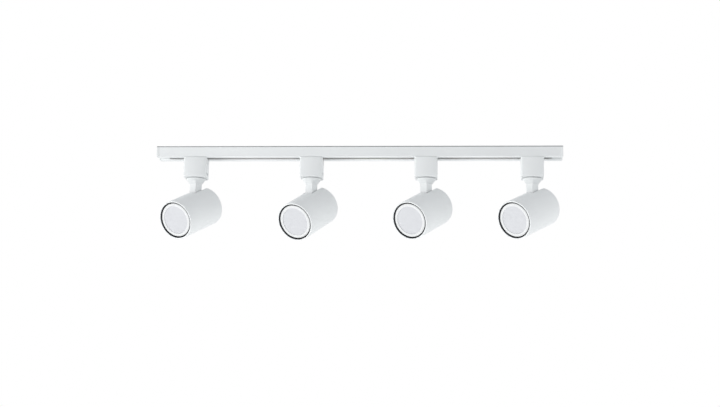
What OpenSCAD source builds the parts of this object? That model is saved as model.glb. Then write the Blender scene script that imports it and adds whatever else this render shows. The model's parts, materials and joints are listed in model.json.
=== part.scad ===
// Ceiling track light: a two-foot track with four cylinder spot heads.
// Each head slides along the track, turns about its arm and tilts on a pin inside its housing.
// Origin at the centre of the track's ceiling face, X along the track, -Y to the front, Z up.
// Sizes are in millimetres and angles in degrees.

/* [Track] */
// Length of the track over both end caps
track_len = 610; // [500:1:760]
// Width of the track
track_w = 34; // [28:0.5:42]
// Height of the track
track_h = 16; // [14:0.5:24]
// Thickness of the channel's side walls
track_wall = 1.5; // [1.2:0.1:2]
// Thickness of the channel's web, against the ceiling
track_web = 1.6; // [1.2:0.1:2]
// Thickness of the two lips beside the slot
lip_t = 1.6; // [1.2:0.1:2]
// Width of the slot along the underside
slot_w = 13; // [12.5:0.1:16]
// Depth of the shadow groove along the track's two ceiling edges
groove_depth = 0.8; // [0.4:0.1:1.1]
// Height of the shadow groove
groove_h = 0.9; // [0.6:0.1:1.2]
// Width of the strip between the groove and the ceiling
groove_drop = 0.5; // [0.4:0.1:0.6]
// Distance between the two ceiling screws
screw_spacing = 304.8; // [280:0.1:320]
// Radius of each ceiling screw hole
screw_hole_r = 2.6; // [2:0.1:3.2]

/* [Conductors] */
// Thickness of the insulator strips on the side walls
insulator_t = 3; // [2.6:0.1:3.6]
// Depth of the copper bars, across the track
bar_t = 1.4; // [1:0.1:1.8]
// Height of the copper bars
bar_h = 3; // [2.4:0.1:3.4]
// Insulation left behind each bar
bar_backing = 0.8; // [0.6:0.1:1]
// Drop of the bars' centre line below the web
bar_drop = 5; // [4.4:0.1:5.4]
// Width of the earth strip under the web
earth_w = 4; // [3:0.1:5]
// Thickness of the earth strip
earth_t = 1.2; // [0.8:0.1:1.6]
// Centre of the earth strip, behind the track's centre line
earth_y = 8.5; // [8:0.1:9.2]

/* [Feed and end caps] */
// Centre of the wire entry along the track
feed_x = 20; // [15:1:30]
// Length of the wire entry in the web
entry_len = 22; // [16:1:26]
// Width of the wire entry
entry_w = 12; // [8:0.5:12]
// Length of the feed terminal block
terminal_len = 50; // [36:1:56]
// Height of the feed terminal block
terminal_h = 6; // [4.5:0.1:6.5]
// Thickness of the end cap outside the channel
cap_t = 4; // [3:0.5:6]
// Length of the end cap's tongue inside the channel
cap_tongue = 12; // [10:0.5:16]
// Depth of the groove that carries the slot on under the end caps
cap_groove = 3; // [2:0.1:4]
// Radius of the end cap screws
cap_screw_r = 1.5; // [1.2:0.1:1.8]

/* [Places of the heads] */
// Place of each head, as a percentage of half the track's length
head_place = [-80.9, -23.3, 33.2, 85.1]; // [-85.5:0.1:85.5]
// Turn of each arm about the vertical, from the front towards -X
head_pan = [29.5, 28, 31, 38.5]; // [-175:0.5:175]
// Tilt of each head below the horizontal
head_tilt = [25, 28, 25, 23.5]; // [0:0.5:90]

/* [Adapter] */
// Width of the adapter along the track
adapter_w = 34.4; // [33:0.1:42]
// Depth of the adapter across the track
adapter_d = 35.6; // [34:0.1:43]
// Height of the adapter below the track
adapter_h = 30.5; // [28:0.5:37]
// Wall of the adapter
adapter_wall = 2; // [1.6:0.1:2.4]
// Floor of the adapter
adapter_floor = 2.4; // [2:0.1:3]
// Radius of the adapter's upright corners
adapter_corner = 3.5; // [2.5:0.1:5]
// Radius of the bow of its front and back
adapter_bow = 60; // [50:1:80]
// Length of the T-foot along the track, less than the slot's width so that it enters with a quarter turn
foot_len = 12.4; // [11:0.1:12.4]
// Thickness of the T-foot that hangs on the lips
foot_t = 3; // [2.5:0.1:3.2]

/* [Lock slider] */
// Width of the opening for the thumb piece
pocket_w = 14.4; // [12:0.1:16]
// Top of the opening below the track
pocket_top = 8; // [7:0.1:9]
// Gap round the thumb piece
pocket_gap = 0.5; // [0.2:0.05:0.5]
// Height of the thumb piece
thumb_h = 13; // [10:0.5:14]
// Travel of the slider, downwards
lock_travel = 3.4; // [3.2:0.1:4]
// Thickness of the slider's plate
lock_plate_t = 1.9; // [1.5:0.1:2.4]
// Width of the tongue that enters the slot
tongue_w = 10; // [8:0.5:12]

/* [Arm] */
// Radius of the arm's collar under the adapter
collar_r = 14.3; // [13:0.1:15]
// Height of the collar's straight edge
collar_h = 1.2; // [0.8:0.1:2]
// Height of the shadow gap between the adapter and the collar
collar_gap = 0.9; // [0.6:0.1:1.2]
// Height of the funnel below the collar
funnel_h = 6.9; // [6:0.1:7.2]
// Width of the arm
arm_w = 12.4; // [10:0.1:13]
// Depth of the arm, from front to back
arm_d = 14.5; // [13:0.1:15]
// Length of the arm from the funnel to the tilt pin
arm_len = 22.7; // [22:0.1:27.5]
// Radius of the shank that turns in the adapter
shank_r = 5; // [4.5:0.1:6]
// Radius of the wire way through the arm
wire_r = 3; // [2.4:0.1:3.2]
// Radius of the tilt pin
pin_r = 2.5; // [2:0.1:2.8]

/* [Head] */
// Radius of the lamp's front rim
lamp_r = 25.4; // [21:0.1:30.5]
// Length of the lamp behind its rim, without its two pins
lamp_len = 46; // [44:0.5:50]
// Width of the lamp's rim round its lens
rim_w = 4.5; // [3:0.1:5]
// Dark gap between the lamp's rim and the housing
ring_gap = 1.9; // [1.5:0.1:3.5]
// Wall of the housing
housing_wall = 1.8; // [1.5:0.1:2.2]
// How far the lamp sits behind the housing's front edge
lamp_recess = 1.2; // [0.8:0.1:3]
// Length of the lamp holder
holder_len = 18; // [16:0.5:22]
// Room for the wires behind the lamp holder
wire_room = 12; // [11.5:0.5:15]
// Thickness of the rear cover
cover_t = 2; // [1.6:0.1:2.4]
// Height of the tilt pin above the housing's centre line
pin_rise = 17; // [16.8:0.1:18]
// Distance from the tilt pin to the back of the housing
pin_to_back = 22; // [21:0.1:22]

/* [Clearances] */
// Gap between pieces that move past each other
move_gap = 0.3; // [0.25:0.05:0.35]
// Radial clearance of a shaft that turns in a hole
running = 0.05; // [0.02:0.01:0.08]

/* [Hidden] */
$fn = 96;
small_fn = 32;
head_count = 4;
heads = [1 : head_count];
head_parts = ["adapter_body", "adapter_cover", "contacts", "lock_slider", "swivel_arm", "swivel_nut",
              "lamp_housing", "rear_cover", "tilt_bracket", "tilt_pin", "lamp_holder", "lamp_body",
              "lamp_lens"];

// Cuts run past the faces that they open by this much
past = 1;

// Track
channel_len = track_len - 2 * cap_t;
inner_w = track_w - 2 * track_wall;
clear_w = inner_w - 2 * insulator_t;
bar_z = -track_web - bar_drop;
bar_back_y = inner_w / 2 - bar_backing;
bar_face_y = bar_back_y - bar_t;
bar_end_gap = 3;
tongue_fit = 0.1;
tongue_z = -track_web - tongue_fit;
tongue_h = track_h - track_web - lip_t - 2 * tongue_fit;
cap_screw_x = channel_len / 2 - cap_tongue / 2;
cap_screw_head_r = 2.8;
cap_screw_len = 7;
terminal_wire_r = 1.6;
terminal_pitch = 12;
terminal_tab_len = 8;
terminal_tab_h = 1.6;

// Adapter, with Z = 0 at the track's underside
web_height = track_h - track_web;
bar_height = track_h + bar_z;
foot_z = lip_t + move_gap;
foot_w = clear_w - 2 * move_gap;
neck_r = slot_w / 2 - move_gap;
tower_len = 10;
tower_w = clear_w - 6;
tower_top = web_height - earth_t - 1.7;
contact_len = 8;
contact_t = 1.6;
contact_root = 3.5;
earth_contact_len = 6;
earth_contact_w = 2;
earth_contact_root = 0.9;
inside_w = adapter_w - 2 * adapter_wall;
inside_d = adapter_d - 2 * adapter_wall;
cover_plate_t = 2;
floor_z = -adapter_h + adapter_floor;
pocket_h = thumb_h + lock_travel + 2 * pocket_gap;
lock_x = inside_w / 2 - move_gap - lock_plate_t;
lock_overlap = 1.3;
lock_top_z = -4.5;
lock_bottom_z = floor_z + lock_travel + move_gap;
latch_depth = 1.6;

// Arm, with Z = 0 at the track's underside
collar_z = -adapter_h - collar_gap;
funnel_top_z = collar_z - collar_h;
funnel_end_z = funnel_top_z - funnel_h;
pin_z = funnel_end_z - arm_len;
shank_washer_r = 9;
nut_r = 9;
nut_t = 3;
nut_z = floor_z + move_gap;
shank_top_z = nut_z + nut_t + 3.5;
knuckle_r = arm_d / 2;
wire_exit_rise = 7;
wire_exit_r = 2.6;

// Head, with Y running back from the front edge and Z = 0 on the housing's centre line
housing_len = lamp_recess + lamp_len + holder_len + wire_room + cover_t;
housing_in_r = lamp_r + ring_gap;
housing_r = housing_in_r + housing_wall;
pin_y = housing_len - pin_to_back;
lens_r = lamp_r - rim_w;
lens_inset = 0.6;
lens_t = 1.6;
neck_of_lamp_r = 13;
lamp_end_y = lamp_recess + lamp_len;
lamp_pin_x = 5;
lamp_pin_r = 1.5;
lamp_pin_tip_r = 2.4;
lamp_pin_len = 6;
lamp_pin_tip_len = 2;
lamp_socket_r = lamp_pin_tip_r + 0.2;
holder_w = 26;
holder_h = 15;
ear_t = 2;
ear_x = arm_w / 2 + move_gap;
ear_r = 7;
ear_half = ear_r;
plate_t = 1.8;
plate_z = holder_h / 2;
plate_top_z = plate_z + plate_t;
plate_front_y = pin_y - 8;
plate_back_y = housing_len - cover_t;
plate_side_gap = 0.2;
plate_half_w = sqrt(pow(housing_in_r, 2) - pow(plate_top_z, 2)) - plate_side_gap;
rail_t = 2;
rail_x = plate_half_w - 2.4;
slot_half_w = ear_x + ear_t + 0.25;
slot_front_y = pin_y - knuckle_r - 0.5;
pin_head_r = 4;
pin_head_t = 1.5;

function head_x(i) = head_place[i - 1] / 100 * track_len / 2;

// An outline in Y and Z, carried along X from one place to another
module along_x(from_x, to_x) {
    translate([from_x, 0, 0]) rotate([90, 0, 90]) linear_extrude(to_x - from_x) children();
}

// A shape drawn about Z, laid along Y
module along_y() {
    rotate([-90, 0, 0]) children();
}

// A solid given by its lowest and highest corners
module span(low, high) {
    translate(low) cube(high - low);
}

// Places a piece with X = 0 at the adapter and Z = 0 at the track's underside
module at_adapter(i) {
    translate([head_x(i), 0, -track_h]) children();
}

// The same, turned with the arm
module at_arm(i) {
    at_adapter(i) rotate([0, 0, -head_pan[i - 1]]) children();
}

// Places a piece of the head about the tilt pin, with -Y towards its front
module at_pin(i) {
    at_adapter(i) translate([0, 0, pin_z]) rotate([head_tilt[i - 1], 0, -head_pan[i - 1]]) children();
}

// Places a piece of the head about the housing's centre line, with Y = 0 at its front edge
module at_head(i) {
    at_pin(i) translate([0, -pin_y, -pin_rise]) children();
}

// Outline of the track, in Y and Z, with a shadow groove down each side
module track_outline() {
    difference() {
        translate([-track_w / 2, -track_h]) square([track_w, track_h]);
        for (side = [0, 1]) mirror([side, 0])
            translate([track_w / 2 - groove_depth, -groove_drop - groove_h])
                square([groove_depth + past, groove_h]);
    }
}

// A long hole with round ends
module long_hole(length, width, depth) {
    straight = length - width;
    for (side = [-1, 1])
        translate([side * straight / 2, 0, 0]) cylinder(h = depth, r = width / 2);
    translate([-straight / 2, -width / 2, 0]) cube([straight, width, depth]);
}

// Rounded plan of the adapter, whose front and back are arcs that run into the corners
module bowed_plan(width, depth, corner) {
    bow_centre = adapter_bow - depth / 2;
    corner_x = width / 2 - corner;
    corner_y = sqrt(pow(adapter_bow - corner, 2) - pow(corner_x, 2)) - bow_centre;
    touch_x = corner_x * adapter_bow / (adapter_bow - corner);
    square([width, 2 * corner_y], center = true);
    for (x = [-corner_x, corner_x])
        for (y = [-corner_y, corner_y])
            translate([x, y]) circle(r = corner);
    intersection() {
        translate([0, bow_centre]) circle(r = adapter_bow, $fn = 360);
        translate([0, -bow_centre]) circle(r = adapter_bow, $fn = 360);
        square([2 * touch_x, depth + past], center = true);
    }
}

// Extruded aluminium channel with its ceiling holes
module track_channel() {
    slot_depth = track_h - track_web;
    color("white") difference() {
        along_x(-channel_len / 2, channel_len / 2) difference() {
            track_outline();
            translate([-inner_w / 2, lip_t - track_h]) square([inner_w, track_h - lip_t - track_web]);
            translate([-slot_w / 2, -track_h - past]) square([slot_w, slot_depth]);
        }
        for (side = [-1, 1]) {
            translate([side * screw_spacing / 2, 0, -track_web - past])
                cylinder(h = track_web + 2 * past, r = screw_hole_r);
            translate([side * cap_screw_x, 0, -track_web])
                cylinder(h = track_web, r1 = cap_screw_r, r2 = cap_screw_head_r, $fn = small_fn);
        }
        translate([feed_x, 0, -track_web - past]) long_hole(entry_len, entry_w, track_web + 2 * past);
    }
}

// Plastic strip on the back wall that holds one bar
module insulator() {
    half_h = bar_h / 2;
    along_x(-channel_len / 2, channel_len / 2) difference() {
        translate([clear_w / 2, lip_t - track_h])
            square([insulator_t, track_h - lip_t - track_web]);
        translate([clear_w / 2 - past, bar_z - half_h])
            square([bar_back_y - clear_w / 2 + past, bar_h]);
    }
}

module insulator_back() {
    color("gainsboro") insulator();
}

module insulator_front() {
    color("gainsboro") mirror([0, 1, 0]) insulator();
}

// Line, neutral and earth conductors
module bus_bars() {
    bar_half = channel_len / 2 - bar_end_gap;
    earth_half = channel_len / 2 - cap_tongue - bar_end_gap;
    color("peru") {
        for (face_y = [-bar_back_y, bar_face_y])
            translate([-bar_half, face_y, bar_z - bar_h / 2]) cube([2 * bar_half, bar_t, bar_h]);
        translate([-earth_half, earth_y - earth_w / 2, -track_web - earth_t])
            cube([2 * earth_half, earth_w, earth_t]);
    }
}

// End cap on the right: a flange that carries the track's outline and a tongue inside the channel,
// with the slot carried on under both
module end_cap() {
    half = channel_len / 2;
    color("white") difference() {
        union() {
            along_x(half, half + cap_t) track_outline();
            translate([half - cap_tongue, tongue_fit - clear_w / 2, tongue_z - tongue_h])
                cube([cap_tongue, clear_w - 2 * tongue_fit, tongue_h]);
        }
        translate([cap_screw_x, 0, -cap_screw_len]) cylinder(h = cap_screw_len, r = cap_screw_r);
        translate([half - cap_tongue - past, -slot_w / 2, -track_h - past])
            cube([cap_tongue + cap_t + 2 * past, slot_w, cap_groove + past]);
    }
}

module end_cap_right() {
    end_cap();
}

module end_cap_left() {
    mirror([1, 0, 0]) end_cap();
}

// Countersunk screws that hold the end caps
module end_cap_screws() {
    color("silver") for (side = [-1, 1]) translate([side * cap_screw_x, 0, 0]) {
        translate([0, 0, -cap_screw_len]) cylinder(h = cap_screw_len - track_web, r = cap_screw_r);
        translate([0, 0, -track_web])
            cylinder(h = track_web, r1 = cap_screw_r, r2 = cap_screw_head_r, $fn = small_fn);
    }
}

// Terminal block inside the channel, below the wire entry
module feed_terminal() {
    block_w = clear_w - 2 * tongue_fit;
    bottom = bar_z + terminal_tab_h / 2 - terminal_h;
    color("ivory") difference() {
        union() {
            translate([feed_x - terminal_len / 2, -block_w / 2, bottom])
                cube([terminal_len, block_w, terminal_h]);
            translate([feed_x - terminal_tab_len / 2, -bar_face_y, bar_z - terminal_tab_h / 2])
                cube([terminal_tab_len, 2 * bar_face_y, terminal_tab_h]);
        }
        for (step = [-1, 0, 1])
            translate([feed_x + step * terminal_pitch, 0, bottom + 2])
                cylinder(h = track_h, r = terminal_wire_r, $fn = small_fn);
    }
}

// Moulded shell of the adapter, open to the track, with an opening for the thumb piece
module adapter_body(i) {
    wall_x = inside_w / 2;
    color("white") at_adapter(i) difference() {
        translate([0, 0, -adapter_h]) linear_extrude(adapter_h - move_gap)
            bowed_plan(adapter_w, adapter_d, adapter_corner);
        translate([0, 0, floor_z]) linear_extrude(adapter_h)
            bowed_plan(inside_w, inside_d, adapter_corner - adapter_wall);
        translate([0, 0, -adapter_h - past]) cylinder(h = adapter_floor + 2 * past, r = shank_r + running);
        translate([wall_x - past, -pocket_w / 2, -pocket_top - pocket_h])
            cube([adapter_wall + 2 * past, pocket_w, pocket_h]);
    }
}

// Cover of the adapter, with the neck and the T-foot that hang it on the track's lips
module adapter_cover(i) {
    notch_x = lock_x - move_gap;
    notch_w = tongue_w + 2 * move_gap;
    plate_top = -move_gap;
    color("whitesmoke") at_adapter(i) difference() {
        union() {
            translate([0, 0, plate_top - cover_plate_t]) linear_extrude(cover_plate_t)
                bowed_plan(inside_w, inside_d, adapter_corner - adapter_wall);
            translate([0, 0, plate_top - cover_plate_t])
                cylinder(h = foot_z - plate_top + cover_plate_t + foot_t / 2, r = neck_r);
            translate([0, 0, foot_z]) intersection() {
                cylinder(h = foot_t, r = foot_w / 2);
                translate([-foot_len / 2, -foot_w / 2, 0]) cube([foot_len, foot_w, foot_t]);
            }
            translate([-tower_len / 2, -tower_w / 2, foot_z + foot_t / 2])
                cube([tower_len, tower_w, tower_top - foot_z - foot_t / 2]);
        }
        translate([notch_x, -notch_w / 2, plate_top - cover_plate_t - past])
            cube([adapter_w, notch_w, cover_plate_t + 2 * past]);
        translate([0, 0, plate_top - cover_plate_t - past])
            cylinder(h = foot_z + cover_plate_t + 2 * past, r = wire_r, $fn = small_fn);
        contact_blades();
    }
}

// Three copper blades in the adapter's tower, one for each conductor
module contact_blades() {
    reach = bar_face_y - move_gap;
    root_y = tower_w / 2 - contact_root;
    for (side = [0, 1]) mirror([0, side, 0])
        translate([-contact_len / 2, root_y, bar_height - contact_t / 2])
            cube([contact_len, reach - root_y, contact_t]);
    translate([-earth_contact_len / 2, earth_y - 1 - earth_contact_w / 2, tower_top - earth_contact_root])
        cube([earth_contact_len, earth_contact_w,
              web_height - earth_t - move_gap - tower_top + earth_contact_root]);
}

module contacts(i) {
    color("peru") at_adapter(i) contact_blades();
}

// Slider that locks the adapter: thumb piece in the side, plate behind it, tongue up into the slot
module lock_slider(i) {
    plate_half = pocket_w / 2 + lock_overlap - move_gap;
    thumb_half = pocket_w / 2 - pocket_gap;
    thumb_top = -pocket_top - pocket_gap;
    plate_x = lock_x + lock_plate_t;
    color("white") at_adapter(i) {
        span([lock_x, -plate_half, lock_bottom_z], [plate_x, plate_half, lock_top_z]);
        span([plate_x, -thumb_half, thumb_top - thumb_h], [adapter_w / 2, thumb_half, thumb_top]);
        span([lock_x, -tongue_w / 2, lock_top_z], [plate_x, tongue_w / 2, lip_t + latch_depth]);
    }
}

// Swivel arm: shank, collar, funnel and a flat arm that ends in a knuckle round the tilt pin
module swivel_arm(i) {
    color("white") at_arm(i) difference() {
        union() {
            translate([0, 0, collar_z]) cylinder(h = shank_top_z - collar_z, r = shank_r);
            translate([0, 0, funnel_top_z]) cylinder(h = collar_h, r = collar_r);
            translate([0, 0, collar_z]) cylinder(h = collar_gap - move_gap, r = shank_washer_r);
            funnel();
            translate([-arm_w / 2, -arm_d / 2, pin_z]) cube([arm_w, arm_d, arm_len]);
            translate([-arm_w / 2, 0, pin_z]) rotate([0, 90, 0]) cylinder(h = arm_w, r = knuckle_r);
        }
        translate([-arm_w / 2 - past, 0, pin_z]) rotate([0, 90, 0])
            cylinder(h = arm_w + 2 * past, r = pin_r + running);
        translate([0, 0, pin_z + wire_exit_rise])
            cylinder(h = shank_top_z - pin_z, r = wire_r, $fn = small_fn);
        translate([0, 0, pin_z + wire_exit_rise]) rotate([90, 0, 0])
            cylinder(h = arm_d, r = wire_exit_r, $fn = small_fn);
    }
}

// Blends the round collar into the flat arm
module funnel() {
    sliver = 0.01;
    hull() {
        translate([0, 0, funnel_top_z]) cylinder(h = sliver, r = collar_r, $fn = 64);
        translate([-arm_w / 2, -arm_d / 2, funnel_end_z]) cube([arm_w, arm_d, sliver]);
    }
}

// Nut on the shank, which keeps the arm in the adapter
module swivel_nut(i) {
    color("silver") at_arm(i) translate([0, 0, nut_z]) difference() {
        cylinder(h = nut_t, r = nut_r, $fn = 6);
        translate([0, 0, -past]) cylinder(h = nut_t + 2 * past, r = shank_r);
    }
}

// Round housing with a slot for the arm, open at the back, and rails for the bracket
module lamp_housing(i) {
    color("white") at_head(i) difference() {
        union() {
            along_y() difference() {
                cylinder(h = housing_len, r = housing_r);
                translate([0, 0, -past]) cylinder(h = housing_len + 2 * past, r = housing_in_r);
            }
            intersection() {
                along_y() cylinder(h = housing_len, r = housing_in_r + housing_wall / 2);
                bracket_rails();
            }
        }
        translate([-slot_half_w, slot_front_y, plate_top_z])
            cube([2 * slot_half_w, housing_len, housing_r]);
    }
}

// Ledges above and below the edges of the bracket's plate
module bracket_rails() {
    rail_len = plate_back_y - plate_front_y;
    for (side = [0, 1]) mirror([side, 0, 0])
        for (z = [plate_z - rail_t, plate_top_z])
            translate([rail_x, plate_front_y, z]) cube([housing_r, rail_len, rail_t]);
}

// Flat cover that closes the back of the housing, notched for the arm
module rear_cover(i) {
    color("white") at_head(i) difference() {
        translate([0, housing_len - cover_t, 0]) along_y() cylinder(h = cover_t, r = housing_in_r);
        translate([-slot_half_w, housing_len - cover_t - past, plate_top_z])
            cube([2 * slot_half_w, cover_t + 2 * past, housing_r]);
    }
}

// Steel bracket: a plate held in the housing's rails and two ears that carry the tilt pin
module tilt_bracket(i) {
    color("silver") at_head(i) difference() {
        union() {
            translate([-plate_half_w, plate_front_y, plate_z])
                cube([2 * plate_half_w, plate_back_y - plate_front_y, plate_t]);
            for (side = [0, 1]) mirror([side, 0, 0]) translate([ear_x, pin_y, pin_rise]) {
                rotate([0, 90, 0]) cylinder(h = ear_t, r = ear_r);
                translate([0, -ear_half, plate_z - pin_rise])
                    cube([ear_t, 2 * ear_half, pin_rise - plate_z]);
            }
        }
        translate([-housing_r, pin_y, pin_rise]) rotate([0, 90, 0])
            cylinder(h = 2 * housing_r, r = pin_r);
    }
}

// Riveted pin that the head tilts on
module tilt_pin(i) {
    head_at = ear_x + ear_t;
    color("silver") at_pin(i) rotate([0, 90, 0]) {
        translate([0, 0, -head_at]) cylinder(h = 2 * head_at, r = pin_r);
        translate([0, 0, head_at]) cylinder(h = pin_head_t, r = pin_head_r);
        translate([0, 0, -head_at - pin_head_t]) cylinder(h = pin_head_t, r = pin_head_r);
    }
}

// Ceramic holder for the lamp's two pins
module lamp_holder(i) {
    color("beige") at_head(i) difference() {
        translate([-holder_w / 2, lamp_end_y, -holder_h / 2]) cube([holder_w, holder_len, holder_h]);
        for (side = [-1, 1])
            translate([side * lamp_pin_x, lamp_end_y - past, 0]) along_y()
                cylinder(h = lamp_pin_len + 2 * past, r = lamp_socket_r, $fn = small_fn);
    }
}

// Reflector lamp: rim, tapered body and two pins
module lamp_body(i) {
    seat_y = lamp_recess + lens_inset + lens_t;
    color("white") at_head(i) {
        along_y() rotate_extrude() polygon([
            [0, seat_y], [lens_r, seat_y], [lens_r, lamp_recess], [lamp_r - 1, lamp_recess],
            [lamp_r, lamp_recess + 1], [lamp_r, lamp_recess + 5], [lamp_r - 2, lamp_recess + 14],
            [lamp_r - 6, lamp_recess + 23], [neck_of_lamp_r + 2, lamp_recess + 30],
            [neck_of_lamp_r, lamp_recess + 34], [neck_of_lamp_r, lamp_end_y], [0, lamp_end_y]]);
        for (side = [-1, 1]) translate([side * lamp_pin_x, lamp_end_y, 0]) along_y() {
            cylinder(h = lamp_pin_len, r = lamp_pin_r, $fn = small_fn);
            translate([0, 0, lamp_pin_len - lamp_pin_tip_len])
                cylinder(h = lamp_pin_tip_len, r = lamp_pin_tip_r, $fn = small_fn);
        }
    }
}

// Frosted disc in the lamp's front
module lamp_lens(i) {
    color("lavender") at_head(i) translate([0, lamp_recess + lens_inset, 0])
        along_y() cylinder(h = lens_t, r = lens_r);
}

track_channel();
insulator_front();
insulator_back();
bus_bars();
end_cap_left();
end_cap_right();
end_cap_screws();
feed_terminal();
for (i = heads) {
    adapter_body(i);
    adapter_cover(i);
    contacts(i);
    lock_slider(i);
    swivel_arm(i);
    swivel_nut(i);
    lamp_housing(i);
    rear_cover(i);
    tilt_bracket(i);
    tilt_pin(i);
    lamp_holder(i);
    lamp_body(i);
    lamp_lens(i);
}
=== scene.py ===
"""Looks of a ceiling track light: a two-foot track with four cylinder spot heads.

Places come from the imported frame: its boxes and joints. Sizes below are in millimetres and MM turns them
to metres. A head's own axes are X across it, Y from its front edge to its back, and Z up from its centre
line, as in the design.
"""
import json
import math

import bmesh
import bpy
import numpy as np
from mathutils import Matrix, Vector


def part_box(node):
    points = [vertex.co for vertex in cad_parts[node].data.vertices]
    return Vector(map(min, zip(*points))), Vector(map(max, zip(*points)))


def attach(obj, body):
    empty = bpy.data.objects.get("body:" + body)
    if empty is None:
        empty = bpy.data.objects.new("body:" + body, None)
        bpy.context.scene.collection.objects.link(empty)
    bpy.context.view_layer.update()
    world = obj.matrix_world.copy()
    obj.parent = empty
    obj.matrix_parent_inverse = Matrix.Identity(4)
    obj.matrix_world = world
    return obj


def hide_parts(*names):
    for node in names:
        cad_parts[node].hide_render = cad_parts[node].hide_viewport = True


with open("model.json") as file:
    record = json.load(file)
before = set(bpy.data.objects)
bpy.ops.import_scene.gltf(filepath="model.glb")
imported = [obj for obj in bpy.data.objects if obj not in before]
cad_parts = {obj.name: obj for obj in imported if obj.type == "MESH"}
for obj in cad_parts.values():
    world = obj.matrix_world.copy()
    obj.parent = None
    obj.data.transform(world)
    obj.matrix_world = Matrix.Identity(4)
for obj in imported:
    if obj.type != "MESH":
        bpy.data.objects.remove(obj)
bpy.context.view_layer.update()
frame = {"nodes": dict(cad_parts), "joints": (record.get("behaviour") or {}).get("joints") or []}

MM = 0.001
WELD = 0.004
HEADS = (1, 2, 3, 4)
JOINTS = {joint["name"]: joint for joint in frame["joints"]}

# Track, with a shadow groove down each side, a little below the ceiling
TRACK_W = 34.0
GROOVE_TOP = 0.5
GROOVE_H = 0.9
GROOVE_DEPTH = 0.8

# Housing and rear cover
HOUSING_LEN = 79.2
HOUSING_R = 29.1
HOUSING_WALL = 1.8
COVER_T = 2.0
COVER_GAP = 0.12
COVER_INSET = 0.1
PIN_RISE = 17.0
PIN_TO_BACK = 22.0
SLOT_HALF = 8.75
SLOT_FLOOR = 9.3
KNUCKLE_R = 7.25
SLOT_FRONT_GAP = 0.5

# Lamp
LAMP_RECESS = 1.2
LAMP_R = 25.4
LAMP_LEN = 46.0
LAMP_NECK_R = 13.0
LAMP_EDGE = 1.2
LAMP_FACE_H = 5.0
LAMP_BOWL_H = 34
LAMP_FOOT_EDGE = 0.6
LAMP_PIN_X = 5.0
LENS_R = 20.9
LENS_T = 1.6
LENS_INSET = 0.6
LENS_EDGE = 0.2
LENS_GAP = 0.05
LENS_RISE = 0.35
AXIS_R = 0.01

# Adapter, measured down from the track's underside
ADAPTER_W = 34.4
ADAPTER_D = 35.6
ADAPTER_H = 30.5
ADAPTER_WALL = 2.0
ADAPTER_FLOOR = 2.4
ADAPTER_CORNER = 3.5
ADAPTER_BOW = 60.0
ADAPTER_DRAFT = 0.35
ADAPTER_EDGE = 1.4
ADAPTER_RIM = 0.4
SHANK_HOLE_GAP = 0.3
MOVE_GAP = 0.3
POCKET_W = 14.4
POCKET_TOP = 8.0
POCKET_H = 17.4

# Arm, from the collar under the adapter to the knuckle on the head's pin
COLLAR_R = 14.3
COLLAR_H = 1.2
COLLAR_GAP = 0.9
FUNNEL_H = 6.9
ARM_W = 12.4
ARM_D = 14.5
ARM_LEN = 22.7
ARM_CORNER = 0.9
SHANK_R = 5.0
SHANK_H = 6.6
SHANK_EDGE = 0.4
WASHER_R = 9.0
COLLAR_EDGE = 0.45
FUNNEL_EASE = 0.03

# Studio, in metres
TENT_EVEN = 0.67
TENT_SLOPE = (0.13, 0.30, 0.19)
FLOOR_HALF = 45.0
FLOOR_Z = -2.2


def linear(hex_colour):
    """An sRGB hex colour as linear red, green, blue and alpha."""
    parts = [int(hex_colour[k:k + 2], 16) / 255 for k in (1, 3, 5)]
    return [p / 12.92 if p <= 0.04045 else ((p + 0.055) / 1.055) ** 2.4 for p in parts] + [1.0]


# ---------------------------------------------------------------- camera, light and floor

def make_camera():
    """A long lens, a little below the heads, aimed close to the middle of the object."""
    turn, rise, roll = math.radians(-4.01), math.radians(11.02), math.radians(0.81)
    aim = Vector((2.6, 0.0, -84.7)) * MM
    distance = 2361 * MM
    forward = Vector((math.sin(turn) * math.cos(rise), math.cos(turn) * math.cos(rise), math.sin(rise)))
    camera = bpy.data.objects.new("camera", bpy.data.cameras.new("camera"))
    camera.data.lens = 78.8
    camera.data.sensor_width = 36.0
    camera.rotation_mode = "QUATERNION"
    upright = forward.to_track_quat("-Z", "Y")
    camera.rotation_quaternion = upright @ Matrix.Rotation(roll, 3, "Z").to_quaternion()
    camera.location = aim - forward * distance
    bpy.context.scene.collection.objects.link(camera)
    bpy.context.scene.camera = camera


def make_softbox(name, place, aim, size, power):
    """A square studio softbox: place, aim and size are in metres and power in watts."""
    data = bpy.data.lights.new(name, "AREA")
    data.shape = "SQUARE"
    data.size = size
    data.energy = power
    lamp = bpy.data.objects.new(name, data)
    lamp.location = place
    lamp.rotation_euler = (Vector(aim) - Vector(place)).to_track_quat("-Z", "Y").to_euler()
    bpy.context.scene.collection.objects.link(lamp)


def make_surround():
    """A white tent, brighter behind and above, whose strength is even + slope . direction. The camera sees it
    plain white."""
    world = bpy.data.worlds.new("surround")
    bpy.context.scene.world = world
    world.use_nodes = True
    tree = world.node_tree
    tree.nodes.clear()
    ray = add_node(tree, "ShaderNodeTexCoord").outputs["Generated"]
    slope = add_node(tree, "ShaderNodeVectorMath", {"operation": "DOT_PRODUCT"}, {1: TENT_SLOPE}, {0: ray})
    strength = add_node(tree, "ShaderNodeMath", {"operation": "ADD"}, {1: TENT_EVEN},
                        {0: slope.outputs["Value"]})
    soft = add_node(tree, "ShaderNodeBackground", inputs={"Color": linear("#f6f8fb")},
                    links={"Strength": strength.outputs["Value"]})
    seen = add_node(tree, "ShaderNodeBackground", inputs={"Color": linear("#ffffff")})
    rays = add_node(tree, "ShaderNodeLightPath")
    mix = add_node(tree, "ShaderNodeMixShader", links={"Fac": rays.outputs["Is Camera Ray"],
                                                       1: soft.outputs["Background"],
                                                       2: seen.outputs["Background"]})
    add_node(tree, "ShaderNodeOutputWorld", links={"Surface": mix.outputs["Shader"]})


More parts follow.
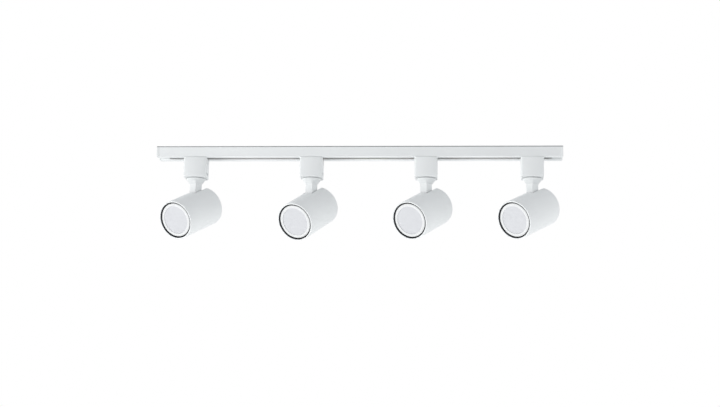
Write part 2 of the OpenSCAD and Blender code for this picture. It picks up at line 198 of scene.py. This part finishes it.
def make_floor():
    """A wide pale floor, well below the heads."""
    mesh = bpy.data.meshes.new("floor")
    corners = [(-FLOOR_HALF, -FLOOR_HALF, FLOOR_Z), (FLOOR_HALF, -FLOOR_HALF, FLOOR_Z),
               (FLOOR_HALF, FLOOR_HALF, FLOOR_Z), (-FLOOR_HALF, FLOOR_HALF, FLOOR_Z)]
    mesh.from_pydata(corners, [], [(0, 1, 2, 3)])
    mesh.materials.append(painted_floor())
    floor = bpy.data.objects.new("floor", mesh)
    bpy.context.scene.collection.objects.link(floor)


def make_studio():
    """A large soft key on the front left, a weak fill on the right, a soft light from below, the tent and the
    floor."""
    bpy.context.scene.view_settings.view_transform = "Standard"
    middle = (0.0, 0.0, -0.06)
    make_softbox("key", (-4.8, -2.4, -0.6), middle, 2.6, 132)
    make_softbox("fill", (2.2, -0.8, -0.3), middle, 1.2, 6.5)
    make_softbox("bounce", (0.0, 0.0, -2.0), middle, 2.2, 12.5)
    make_surround()
    make_floor()


# ---------------------------------------------------------------- materials

def add_node(tree, kind, settings=None, inputs=None, links=None):
    """Adds one node: settings are its properties, inputs its plain values, links its incoming sockets."""
    node = tree.nodes.new(kind)
    for name, value in (settings or {}).items():
        setattr(node, name, value)
    for name, value in (inputs or {}).items():
        node.inputs[name].default_value = value
    for name, socket in (links or {}).items():
        tree.links.new(socket, node.inputs[name])
    return node


def new_material(name):
    """An empty node material and its tree."""
    material = bpy.data.materials.new(name)
    material.use_nodes = True
    material.node_tree.nodes.clear()
    return material, material.node_tree


def position(tree):
    """The point on the piece, in metres in the row's frame."""
    return add_node(tree, "ShaderNodeTexCoord").outputs["Object"]


def per_mm(size):
    """A pattern's scale for features of that size in millimetres."""
    return 1 / (size * MM)


def grain(tree, point, size, detail=2.0):
    """A noise's value, with features of that size in millimetres."""
    noise = add_node(tree, "ShaderNodeTexNoise", inputs={"Scale": per_mm(size), "Detail": detail},
                     links={"Vector": point})
    return noise.outputs["Fac"]


def blended(tree, factor, colour, other):
    """A mix of two close colours."""
    mix = add_node(tree, "ShaderNodeMix", {"data_type": "RGBA"}, links={"Factor": factor})
    mix.inputs["A"].default_value = linear(colour)
    mix.inputs["B"].default_value = linear(other)
    return mix.outputs["Result"]


def coloured(tree, point, colour, other, size):
    """Slow drift between two close colours, over patches of that size in millimetres."""
    return blended(tree, grain(tree, point, size, 3.0), colour, other)


def bumped(tree, height, strength, depth):
    """A normal bent by a height, whose depth is in millimetres."""
    bump = add_node(tree, "ShaderNodeBump", inputs={"Strength": strength, "Distance": depth * MM},
                    links={"Height": height})
    return bump.outputs["Normal"]


def between(tree, value, low, high):
    """A noise's value carried to the range from low to high."""
    spread = add_node(tree, "ShaderNodeMapRange", inputs={"To Min": low, "To Max": high},
                      links={"Value": value})
    return spread.outputs["Result"]


def principled(tree, inputs, links):
    """A Principled shader, wired to the material's output."""
    shader = add_node(tree, "ShaderNodeBsdfPrincipled", inputs=inputs, links=links)
    add_node(tree, "ShaderNodeOutputMaterial", links={"Surface": shader.outputs[0]})


def powder_coat():
    """Polyester powder coat on aluminium: matt white, with the soft dimples that the melt leaves."""
    material, tree = new_material("powder_coated_aluminium")
    point = position(tree)
    dimples = grain(tree, point, 1.6)
    principled(tree, {"IOR": 1.5, "Specular IOR Level": 0.25},
               {"Base Color": coloured(tree, point, "#f2f4f4", "#eef0f0", 60),
                "Roughness": between(tree, dimples, 0.60, 0.72),
                "Normal": bumped(tree, dimples, 0.10, 0.1)})
    return material


def painted_shade_inside():
    """The housing's inside: dark grey, partly the bare metal's own tone and partly painted shade, so the gap
    round the lamp reads dark.
    """
    material, tree = new_material("housing_inside_painted_shade")
    point = position(tree)
    principled(tree, {"Roughness": 0.6},
               {"Base Color": coloured(tree, point, "#626467", "#56585b", 12),
                "Normal": bumped(tree, grain(tree, point, 1.0), 0.15, 0.1)})
    return material


def moulded_plastic(name, colour, other, roughness, grain_size):
    """Injection-moulded plastic: satin, with the fine even texture of a spark-eroded mould."""
    material, tree = new_material(name)
    point = position(tree)
    texture = grain(tree, point, grain_size)
    principled(tree, {"IOR": 1.53, "Specular IOR Level": 0.25},
               {"Base Color": coloured(tree, point, colour, other, 40),
                "Roughness": between(tree, texture, roughness - 0.04, roughness + 0.04),
                "Normal": bumped(tree, texture, 0.08, 0.08)})
    return material


def metal(name, colour, other, roughness, streak):
    """Drawn or plated metal, with fine streaks along X from the die or the brush."""
    material, tree = new_material(name)
    stretch = add_node(tree, "ShaderNodeMapping", inputs={"Scale": (0.05, 1.0, 1.0)},
                       links={"Vector": position(tree)})
    streaks = grain(tree, stretch.outputs["Vector"], streak, 3.0)
    principled(tree, {"Metallic": 1.0},
               {"Base Color": blended(tree, streaks, colour, other),
                "Roughness": between(tree, streaks, roughness - 0.06, roughness + 0.06),
                "Normal": bumped(tree, streaks, 0.1, 0.05)})
    return material


def frosted_lens():
    """Frosted polycarbonate over an unlit lamp: matt and faintly lavender."""
    material, tree = new_material("frosted_lens")
    point = position(tree)
    principled(tree, {"Roughness": 0.55, "IOR": 1.58},
               {"Base Color": coloured(tree, point, "#d4d5d8", "#d1d2d5", 14),
                "Normal": bumped(tree, grain(tree, point, 0.9, 3.0), 0.12, 0.06)})
    return material


def painted_floor():
    """Pale matt floor paint."""
    material, tree = new_material("pale_floor")
    principled(tree, {"Roughness": 0.8},
               {"Base Color": coloured(tree, position(tree), "#f2f2f1", "#efefee", 400)})
    return material


# ---------------------------------------------------------------- meshes

def sweep_faces(rows, cols, wrap_rows, wrap_cols):
    """Quads over a grid of points, whose rows and columns may close on themselves."""
    r = np.arange(rows if wrap_rows else rows - 1)
    c = np.arange(cols if wrap_cols else cols - 1)
    rr, cc = np.meshgrid(r, c, indexing="ij")
    r2, c2 = (rr + 1) % rows, (cc + 1) % cols
    return np.stack([rr * cols + cc, rr * cols + c2, r2 * cols + c2, r2 * cols + cc], -1)


def add_patch(patches, points, wrap_rows=False, wrap_cols=False, keep=None, material=0):
    """Adds a grid of points to a list of patches; keep is a mask of the quads that stay."""
    rows, cols = points.shape[:2]
    faces = sweep_faces(rows, cols, wrap_rows, wrap_cols)
    if keep is not None:
        faces = faces[keep]
    patches.append((points.reshape(-1, 3), faces.reshape(-1, 4), material))


def make_piece(name, patches, materials, body, node, place, bevel=0.0, sharp=35):
    """Welds patches, in millimetres, into one closed piece that rides on a body and replaces a CAD node."""
    points, faces, indices, start = [], [], [], 0
    for patch_points, patch_faces, material in patches:
        points.append(patch_points)
        faces += (patch_faces + start).tolist()
        indices += [material] * len(patch_faces)
        start += len(patch_points)
    mesh = bpy.data.meshes.new(name)
    mesh.from_pydata((np.concatenate(points) * MM).tolist(), [], faces)
    mesh.polygons.foreach_set("material_index", indices)
    mesh.transform(place)
    finish_piece(name, mesh, materials, body, node, bevel, sharp=sharp)


def finish_piece(name, mesh, materials, body, node, bevel, segments=3, sharp=35):
    """Merges doubles, points faces outwards, rounds edges and hands the piece to the frame. Edges that turn
    by more than sharp degrees are bevelled, or kept sharp where bevel is 0."""
    work = bmesh.new()
    work.from_mesh(mesh)
    bmesh.ops.remove_doubles(work, verts=work.verts, dist=WELD * MM)
    bmesh.ops.dissolve_degenerate(work, edges=work.edges, dist=WELD / 2 * MM)
    bmesh.ops.recalc_face_normals(work, faces=work.faces)
    work.to_mesh(mesh)
    work.free()
    for material in materials:
        mesh.materials.append(material)
    mesh.shade_smooth()
    piece = bpy.data.objects.new(name, mesh)
    bpy.context.scene.collection.objects.link(piece)
    if bevel:
        rounding = piece.modifiers.new("rounded_edges", "BEVEL")
        rounding.width = bevel * MM
        rounding.segments = segments
        rounding.limit_method = "ANGLE"
        rounding.angle_limit = math.radians(sharp)
        rounding.harden_normals = True
        rounding.use_clamp_overlap = True
    else:
        mesh.set_sharp_from_angle(angle=math.radians(sharp))
    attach(piece, body)
    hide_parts(node)


def rounded_copy(node, body, material, bevel, groove_shade=None):
    """A copy of a CAD node's mesh with its sharp edges rounded; the last argument, when given, is the dark
    grey painted as shade on the faces of the track's shadow groove."""
    mesh = frame["nodes"][node].data.copy()
    mesh.materials.clear()
    work = bmesh.new()
    work.from_mesh(mesh)
    bmesh.ops.remove_doubles(work, verts=work.verts, dist=WELD * MM)
    bmesh.ops.dissolve_limit(work, angle_limit=math.radians(0.5), verts=work.verts, edges=work.edges)
    work.to_mesh(mesh)
    work.free()
    if groove_shade:
        # Faces inside the shadow groove take the dark grey painted shade
        centres = np.array([face.center for face in mesh.polygons]) / MM
        across, down = np.abs(centres[:, 1]), -centres[:, 2]
        near = 0.05
        inside = (across > TRACK_W / 2 - GROOVE_DEPTH - near) & (across < TRACK_W / 2 - near)
        inside &= (down > GROOVE_TOP - near) & (down < GROOVE_TOP + GROOVE_H + near)
        mesh.polygons.foreach_set("material_index", inside.astype(np.int32))
    finish_piece(node + "_finished", mesh, [material, groove_shade] if groove_shade else [material], body, node, bevel,
                 segments=2)


# ---------------------------------------------------------------- places

def arm_place(i):
    """The arm's axes: origin where its axis meets the track's underside, turned with the arm."""
    pin = JOINTS[f"head_{i}_tilt"]
    x = JOINTS[f"arm_{i}_pan"]["pos_m"][0]
    turn = math.atan2(pin["axis"][1], pin["axis"][0])
    return Matrix.Translation((x, 0.0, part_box("track_channel")[0].z)) @ Matrix.Rotation(turn, 4, "Z")


def head_place(i):
    """The head's axes: origin in the middle of the housing's front edge."""
    pin = JOINTS[f"head_{i}_tilt"]
    turn = math.atan2(pin["axis"][1], pin["axis"][0])
    tilt = math.radians(-pin["range_deg"][0])
    to_front = Matrix.Translation(Vector((0.0, PIN_TO_BACK - HOUSING_LEN, -PIN_RISE)) * MM)
    about_pin = Matrix.Rotation(turn, 4, "Z") @ Matrix.Rotation(tilt, 4, "X")
    return Matrix.Translation(pin["pos_m"]) @ about_pin @ to_front


def adapter_place(i):
    """The adapter's axes: origin at the track's underside."""
    x = JOINTS[f"arm_{i}_pan"]["pos_m"][0]
    return Matrix.Translation((x, 0.0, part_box("track_channel")[0].z))


# ---------------------------------------------------------------- the head

def ring_points(radius, depth, angles):
    """Points at an angle from the top of the housing: X = r sin a, Z = r cos a."""
    return np.stack([radius * np.sin(angles), np.full_like(angles, depth), radius * np.cos(angles)], -1)


def housing_patches():
    """A tube, r constant and y from 0 to its length, whose section loses |x| < slot half behind the slot's
    front; the columns start and end on the slot's flat sides, at a = asin(half / r)."""
    outer, inner = HOUSING_R, HOUSING_R - HOUSING_WALL
    slot_front = HOUSING_LEN - PIN_TO_BACK - KNUCKLE_R - SLOT_FRONT_GAP
    front_rows = np.linspace(0, slot_front, 5)
    back_rows = np.linspace(slot_front, HOUSING_LEN, 4)[1:]
    depths = np.concatenate([front_rows, back_rows])

    def wall(radius, rows, top):
        edge = math.asin(SLOT_HALF / radius)
        angles = np.linspace(-edge, edge, 15) if top else np.linspace(edge, 2 * math.pi - edge, 130)
        return np.stack([ring_points(radius, y, angles) for y in rows])

    patches = []
    for top, rows in ((False, depths), (True, front_rows)):
        outside, inside = wall(outer, rows, top), wall(inner, rows, top)
        add_patch(patches, outside)
        # The inside wall takes the dark grey inside, partly painted shade for the gap round the lamp
        add_patch(patches, inside[:, ::-1], material=1)
        add_patch(patches, np.stack([inside[0], outside[0]]))
        add_patch(patches, np.stack([outside[-1], inside[-1]]))
    outside, inside = wall(outer, depths, False), wall(inner, depths, False)
    first_slot_row = len(front_rows) - 1
    for column in (0, -1):
        add_patch(patches, np.stack([outside[first_slot_row:, column], inside[first_slot_row:, column]]))
    return patches


def disc_outline(radius, half, low):
    """A circle with a notch |x| < half above z = low, as points running once round."""
    edge = math.asin(half / radius)
    angles = np.linspace(edge, 2 * math.pi - edge, 120)
    arc = np.stack([radius * np.sin(angles), radius * np.cos(angles)], -1)
    return np.concatenate([arc, [[-half, low], [half, low]]])


def make_cover(i, materials):
    """The rear cover: the notched outline carried through its thickness."""
    radius = HOUSING_R - HOUSING_WALL - COVER_GAP
    outline = disc_outline(radius, SLOT_HALF, SLOT_FLOOR)
    count = len(outline)
    layers = [np.stack([outline[:, 0], np.full(count, y), outline[:, 1]], -1)
              for y in (HOUSING_LEN - COVER_T, HOUSING_LEN - COVER_INSET)]
    mesh = bpy.data.meshes.new(f"rear_cover_plate_{i}")
    faces = sweep_faces(2, count, False, True).reshape(-1, 4).tolist()
    faces += [list(range(count)), list(range(2 * count - 1, count - 1, -1))]
    mesh.from_pydata((np.concatenate(layers) * MM).tolist(), [], faces)
    mesh.transform(head_place(i))
    finish_piece(mesh.name, mesh, [materials["coat"]], f"head_{i}",
                 f"rear_cover_{i}", bevel=0.35)


def turned(profile, count=128):
    """A profile of radius and depth, turned about the housing's centre line."""
    angles = np.linspace(0, 2 * math.pi, count, endpoint=False)
    return np.stack([ring_points(r, y, angles) for r, y in profile])


def arc_profile(centre_r, centre_y, radius, start, end, count=7):
    """Points of a rounded edge, as radius and depth, between two angles in degrees."""
    angles = np.radians(np.linspace(start, end, count))
    return [(centre_r + radius * math.cos(a), centre_y + radius * math.sin(a)) for a in angles]


def make_lamp(i, materials):
    """The lamp, turned about one axis: a rounded white rim round the lens's seat, then a side painted dark
    grey as shade for the gap round the lamp, whose radius falls as R - (R - r) t^1.7, and a straight neck with
    two pins, painted the same dark grey."""
    front, base = LAMP_RECESS, LAMP_RECESS + LAMP_LEN
    seat = front + LENS_INSET + LENS_T
    seat_r = LENS_R + LENS_GAP
    profile = [(AXIS_R, seat), (seat_r, seat), (seat_r, front + LENS_EDGE)]
    profile += arc_profile(seat_r + LENS_EDGE, front + LENS_EDGE, LENS_EDGE, 180, 270, 5)
    profile += arc_profile(LAMP_R - LAMP_EDGE, front + LAMP_EDGE, LAMP_EDGE, 270, 360, 9)
    rim_rows = len(profile)
    bowl, bowl_h = front + LAMP_FACE_H, LAMP_BOWL_H - LAMP_FACE_H
    profile += [(LAMP_R, bowl)]
    profile += [(LAMP_R - (LAMP_R - LAMP_NECK_R) * t ** 1.7, bowl + bowl_h * t)
                for t in np.linspace(0, 1, 13)[1:]]
    profile += [(LAMP_NECK_R, base - LAMP_FOOT_EDGE), (LAMP_NECK_R - LAMP_FOOT_EDGE, base), (AXIS_R, base)]
    rings = turned(profile)
    patches = []
    add_patch(patches, rings[:rim_rows], wrap_cols=True)
    # Side and neck are painted dark grey as shade for the gap round the lamp
    add_patch(patches, rings[rim_rows - 1:], wrap_cols=True, material=2)
    pin = [(AXIS_R, 0.0), (1.5, 0.0), (1.5, 4.0), (2.1, 4.0), (2.4, 4.3), (2.4, 5.7), (2.1, 6.0),
           (AXIS_R, 6.0)]
    for x in (-LAMP_PIN_X, LAMP_PIN_X):
        add_patch(patches, turned(pin, 24) + np.array([x, base, 0.0]), wrap_cols=True, material=1)
    make_piece(f"lamp_{i}", patches, [materials["lamp"], materials["steel"], materials["lamp_side_shade"]],
               f"head_{i}", f"lamp_body_{i}", head_place(i))


def make_lens(i, materials):
    """The lens: a shallow dome y = front - h (1 - (r / R)^2) with a rolled edge."""
    front = LAMP_RECESS + LENS_INSET
    edge_y = front + 0.05
    radii = np.linspace(0.001, LENS_R - LENS_EDGE, 18)
    profile = [(r, edge_y - LENS_RISE * (1 - (r / LENS_R) ** 2)) for r in radii]
    profile += arc_profile(LENS_R - LENS_EDGE, front + LENS_EDGE, LENS_EDGE, 285, 360, 4)
    profile += [(LENS_R, front + LENS_T), (0.001, front + LENS_T)]
    patches = []
    add_patch(patches, turned(profile), wrap_cols=True)
    make_piece(f"lens_{i}", patches, [materials["lens"]], f"head_{i}", f"lamp_lens_{i}",
               head_place(i))


def make_head(i, materials):
    """Housing, cover, lamp and lens of one head."""
    make_piece(f"housing_{i}", housing_patches(), [materials["coat"], materials["inside"]], f"head_{i}",
               f"lamp_housing_{i}", head_place(i), bevel=0.4)
    make_cover(i, materials)
    make_lamp(i, materials)
    make_lens(i, materials)


# ---------------------------------------------------------------- the arm

def round_rectangle(width, depth, corner, side_points=9, corner_points=7):
    """Points round a rectangle with round corners, anticlockwise from the middle of its +X side."""
    half_w, half_d = width / 2 - corner, depth / 2 - corner
    points = []
    quarters = ((1, 1), 0), ((-1, 1), 90), ((-1, -1), 180), ((1, -1), 270)
    for (x_sign, y_sign), start in quarters:
        angles = np.radians(np.linspace(start, start + 90, corner_points))
        centre = np.array([x_sign * half_w, y_sign * half_d])
        points.append(centre + corner * np.stack([np.cos(angles), np.sin(angles)], -1))
    outline = []
    for k in range(4):
        outline.append(points[k])
        step = np.linspace(0, 1, side_points + 2)[1:-1, None]
        outline.append(points[k][-1] * (1 - step) + points[(k + 1) % 4][0] * step)
    return np.concatenate(outline)


def matching_circle(radius, outline):
    """A circle's points in the same directions as an outline's."""
    angles = np.arctan2(outline[:, 1], outline[:, 0])
    return radius * np.stack([np.cos(angles), np.sin(angles)], -1)


def arm_patches():
    """One loft down the arm: shank, washer and collar are circles, the funnel blends a circle into a
    rounded rectangle, and below the pin the depth shrinks as sqrt(r^2 - z^2)."""
    section = round_rectangle(ARM_W, ARM_D, ARM_CORNER)
    floor_in = -ADAPTER_H + ADAPTER_FLOOR
    collar_top = -ADAPTER_H - COLLAR_GAP
    funnel_top = collar_top - COLLAR_H
    funnel_end = funnel_top - FUNNEL_H
    pin = funnel_end - ARM_LEN
    shank_top, washer_top = floor_in + SHANK_H, -ADAPTER_H - MOVE_GAP
    collar_in = COLLAR_R - COLLAR_EDGE
    circles = [(AXIS_R, shank_top), (SHANK_R - SHANK_EDGE, shank_top), (SHANK_R, shank_top - SHANK_EDGE),
               (SHANK_R, washer_top), (WASHER_R, washer_top), (WASHER_R, collar_top), (collar_in, collar_top)]
    circles += [(collar_in + COLLAR_EDGE * math.sin(a), collar_top - COLLAR_EDGE * (1 - math.cos(a)))
                for a in np.radians([30, 60, 90])]
    circles += [(COLLAR_R, funnel_top + 0.15)]
    rings = [np.c_[matching_circle(r, section), np.full(len(section), z)] for r, z in circles]
    wide = matching_circle(COLLAR_R, section)
    blend_top = funnel_top - 0.1
    for t in np.linspace(0, 1, 13):
        # The straight blend is eased at both ends, as a casting's fillets would
        ease = t + FUNNEL_EASE * math.sin(2 * math.pi * t) * (1 if t > 0.5 else -1)
        outline = wide * (1 - ease) + section * ease
        rings.append(np.c_[outline, np.full(len(section), blend_top - t * (blend_top - funnel_end))])
    rings.append(np.c_[section, np.full(len(section), (funnel_end + pin) / 2)])
    for angle in np.radians(np.linspace(0, 88, 14)):
        depth = 2 * KNUCKLE_R * math.cos(angle)
        outline = round_rectangle(ARM_W, depth, min(ARM_CORNER, depth / 2 - 0.01))
        rings.append(np.c_[outline, np.full(len(section), pin - KNUCKLE_R * math.sin(angle))])
    patches = []
    add_patch(patches, np.stack(rings), wrap_cols=True)
    centre_line = rings[-1] * np.array([1.0, 0.0, 1.0])
    add_patch(patches, np.stack([rings[-1], centre_line]), wrap_cols=True)
    return patches


def make_arm(i, materials):
    make_piece(f"arm_{i}", arm_patches(), [materials["coat"]], f"arm_{i}",
               f"swivel_arm_{i}", arm_place(i), sharp=30)


# ---------------------------------------------------------------- the adapter

def bowed_outline(inset):
    """The adapter's plan, drawn in by an inset: flat flanks at |x| = w / 2, corner arcs, and a front and
    back that are arcs of a large circle. Each part has a fixed number of points, so outlines match."""
    half_w, half_d = ADAPTER_W / 2 - inset, ADAPTER_D / 2 - inset
    bow = ADAPTER_BOW - inset
    corner = max(ADAPTER_CORNER - inset, 0.4)
    centre_y = bow - half_d
    corner_x = half_w - corner
    corner_y = math.sqrt((bow - corner) ** 2 - corner_x ** 2) - centre_y
    lean = math.atan2(corner_x, corner_y + centre_y)
    pocket = POCKET_W / 2

    flank = np.array([-corner_y, -pocket, -pocket / 2, 0, pocket / 2, pocket])
    right = np.stack([np.full(len(flank), half_w), flank], -1)
    turn = np.linspace(0, math.pi / 2 - lean, 9)[:-1]
    corner_arc = np.stack([corner_x + corner * np.cos(turn), corner_y + corner * np.sin(turn)], -1)
    sweep = np.linspace(lean, -lean, 33)[:-1]
    back = np.stack([bow * np.sin(sweep), bow * np.cos(sweep) - centre_y], -1)
    lean_turn = turn + lean
    other_arc = np.stack([-corner_x - corner * np.sin(lean_turn), corner_y + corner * np.cos(lean_turn)], -1)
    half = np.concatenate([right, corner_arc, back, other_arc])
    return np.concatenate([half, -half])


def adapter_patches():
    """Rings of the plan carried up the inside and down the outside, drawn in by the draft towards the floor
    and by r (1 - cos a) round its lower edge. Quads over the thumb piece's opening are left out."""
    floor_in = -ADAPTER_H + ADAPTER_FLOOR
    pocket_low = -POCKET_TOP - POCKET_H
    inside = [(ADAPTER_WALL, z) for z in (floor_in, pocket_low, -POCKET_TOP, -MOVE_GAP)]
    outside = [(ADAPTER_RIM * (1 - math.sin(a)), -MOVE_GAP - ADAPTER_RIM * (1 - math.cos(a)))
               for a in np.radians([0, 30, 60, 90])]
    edge_top = -ADAPTER_H + ADAPTER_EDGE
    outside += [(ADAPTER_DRAFT * -z / ADAPTER_H, z) for z in (-POCKET_TOP, pocket_low, edge_top)]
    outside += [(ADAPTER_DRAFT + ADAPTER_EDGE * (1 - math.cos(a)), edge_top - ADAPTER_EDGE * math.sin(a))
                for a in np.radians([15, 30, 45, 60, 75, 90])]
    plans = [(bowed_outline(inset), z) for inset, z in inside + outside]
    hole = matching_circle(SHANK_R + SHANK_HOLE_GAP, bowed_outline(ADAPTER_WALL))
    plans += [(hole, -ADAPTER_H), (hole, floor_in)]
    grid = np.stack([np.c_[plan, np.full(len(plan), z)] for plan, z in plans])
    keep = np.ones(grid.shape[:2], bool)
    inside_row, outside_row = 1, len(inside) + 4
    keep[[inside_row, outside_row], 1:5] = False
    patches = []
    add_patch(patches, grid, wrap_rows=True, wrap_cols=True, keep=keep)
    columns = slice(1, 6)
    low_out, top_out = grid[outside_row + 1, columns], grid[outside_row, columns]
    low_in, top_in = grid[inside_row, columns], grid[inside_row + 1, columns]
    add_patch(patches, np.stack([low_in, low_out]))
    add_patch(patches, np.stack([top_out, top_in]))
    for k in (0, -1):
        add_patch(patches, np.array([[low_in[k], low_out[k]], [top_in[k], top_out[k]]]))
    return patches


def make_adapter(i, materials):
    make_piece(f"adapter_{i}", adapter_patches(), [materials["plastic"]], f"adapter_{i}",
               f"adapter_body_{i}", adapter_place(i), sharp=40)
    rounded_copy(f"adapter_cover_{i}", f"adapter_{i}", materials["plastic"], 0.25)
    rounded_copy(f"lock_slider_{i}", f"lock_{i}", materials["plastic"], 0.35)


# ---------------------------------------------------------------- assembly

def main():
    make_camera()
    materials = {
        "coat": powder_coat(),
        # The housing's inside is dark grey, partly painted shade for the gap round the lamp
        "inside": painted_shade_inside(),
        "plastic": moulded_plastic("white_plastic", "#f1f3f3", "#edefef", 0.55, 0.8),
        "lamp": moulded_plastic("lamp_plastic", "#e8e9e9", "#e5e6e6", 0.40, 1.2),
        "pvc": moulded_plastic("insulator_pvc", "#eef0f1", "#e9ebec", 0.45, 1.0),
        "terminal": moulded_plastic("terminal_plastic", "#dddbcf", "#d7d4c6", 0.45, 0.8),
        "ceramic": moulded_plastic("glazed_ceramic", "#e6e2d6", "#dfdacb", 0.25, 1.5),
        "copper": metal("drawn_copper", "#c98a66", "#b87452", 0.30, 0.3),
        "steel": metal("zinc_plated_steel", "#c2c6ca", "#aeb3b8", 0.34, 0.3),
        "lens": frosted_lens(),
        # Dark grey painted as shade on the lamp's side, seen only in the gap round the lamp
        "lamp_side_shade": moulded_plastic("lamp_side_painted_shade", "#4c4e50", "#444648", 0.50, 1.0),
        # Dark grey painted as shade in the track's shadow groove
        "groove_shade": moulded_plastic("groove_painted_shade", "#7d7f81", "#757779", 0.65, 0.6),
    }
    make_studio()

    for i in HEADS:
        make_head(i, materials)
        make_arm(i, materials)
        make_adapter(i, materials)

    # The track's and end caps' shadow groove is painted dark grey as shade
    groove_shade = materials["groove_shade"]
    rounded_copy("track_channel", "track", materials["coat"], 0.2, groove_shade)
    for cap in ("end_cap_left", "end_cap_right"):
        rounded_copy(cap, "track", materials["plastic"], 0.2, groove_shade)

    finishes = {"insulator": "pvc", "bus_bars": "copper", "contacts": "copper", "feed_terminal": "terminal",
                "end_cap_screws": "steel", "swivel_nut": "steel", "tilt_bracket": "steel",
                "tilt_pin": "steel", "lamp_holder": "ceramic"}
    for node, thing in frame["nodes"].items():
        for start, finish in finishes.items():
            if node.startswith(start):
                thing.data.materials.clear()
                thing.data.materials.append(materials[finish])


main()
